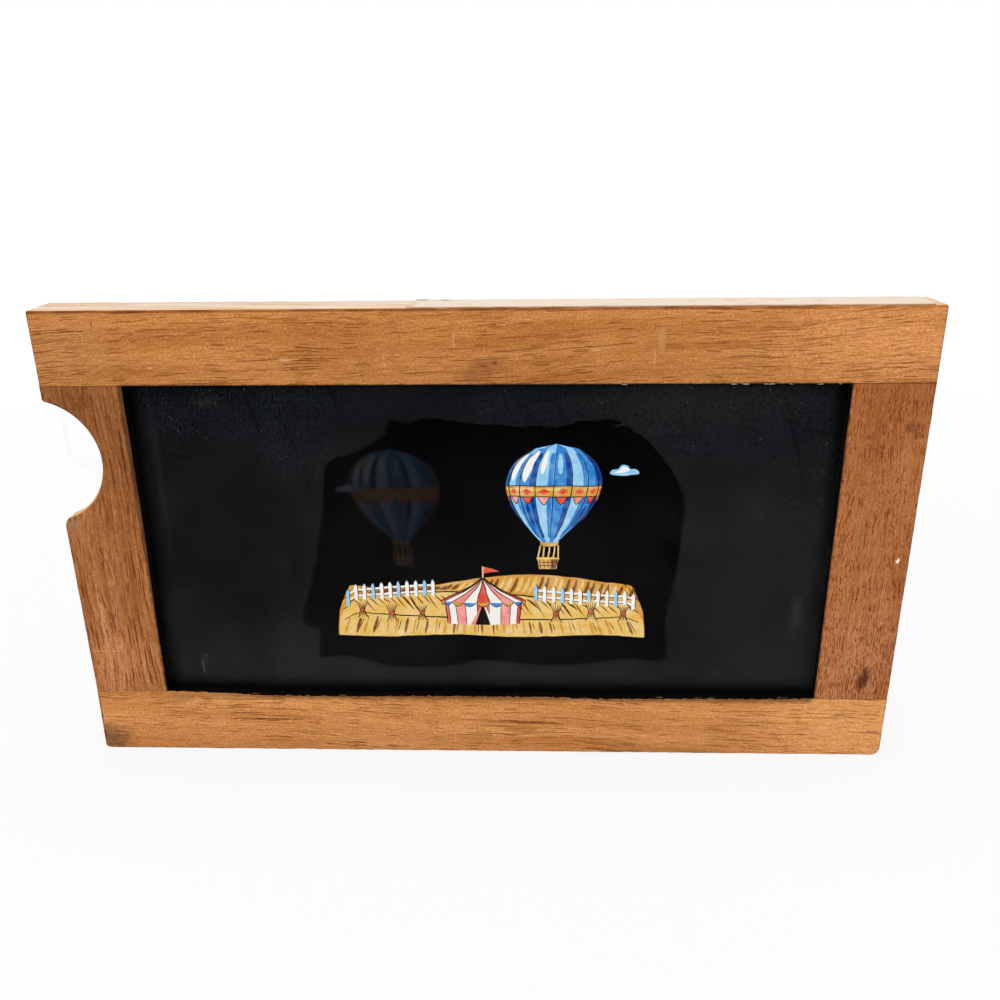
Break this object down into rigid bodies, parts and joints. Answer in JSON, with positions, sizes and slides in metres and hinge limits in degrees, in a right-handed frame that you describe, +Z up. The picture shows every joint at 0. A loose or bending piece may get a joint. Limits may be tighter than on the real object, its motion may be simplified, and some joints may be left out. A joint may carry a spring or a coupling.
{
  "type": "slipping slide for a magic lantern",
  "caption": "Wooden-framed glass slide for a magic lantern. A finger notch at the end lets a masked glass be drawn out behind the painted glass to change the picture.",
  "frame": {"origin": "under the middle of the bottom edge, halfway between the front and back faces", "axes": "+X along the frame from the notched end to the closed end, +Y from the picture's front to the back, +Z up"},
  "size_m": [0.1778, 0.0094, 0.1017],
  "materials": {
    "rail_mahogany": "satin",
    "stile_mahogany": "satin",
    "bead_mahogany": "satin",
    "clear_glass": "polished",
    "black_ground": "gloss",
    "picture_colours": "gloss",
    "slip_black": "matte",
    "black_paper": "matte",
    "spacer_card": "matte",
    "pin_brass": "satin",
    "brad_iron": "matte",
    "title_paper": "matte"
  },
  "bodies": {
    "frame": {"top_rail": "rail_mahogany", "bottom_rail": "rail_mahogany", "right_stile": "stile_mahogany", "left_stile": "stile_mahogany", "picture_glass": "clear_glass", "mask_paper": "black_paper", "top_spacer": "spacer_card", "bottom_spacer": "spacer_card", "left_spacer": "spacer_card", "right_spacer": "spacer_card", "top_bead": "bead_mahogany", "bottom_bead": "bead_mahogany", "left_bead": "bead_mahogany", "right_bead": "bead_mahogany", "stop_pin": "pin_brass", "corner_brads": "brad_iron", "bead_pins": "brad_iron", "title_strip": "title_paper"},
    "slip": {"slip_glass": "clear_glass"}
  },
  "joints": [
    {"name": "slip_pull", "type": "slide", "parent": "frame", "child": "slip", "axis": [-1, 0, 0], "range_m": [0, 0.036]}
  ]
}
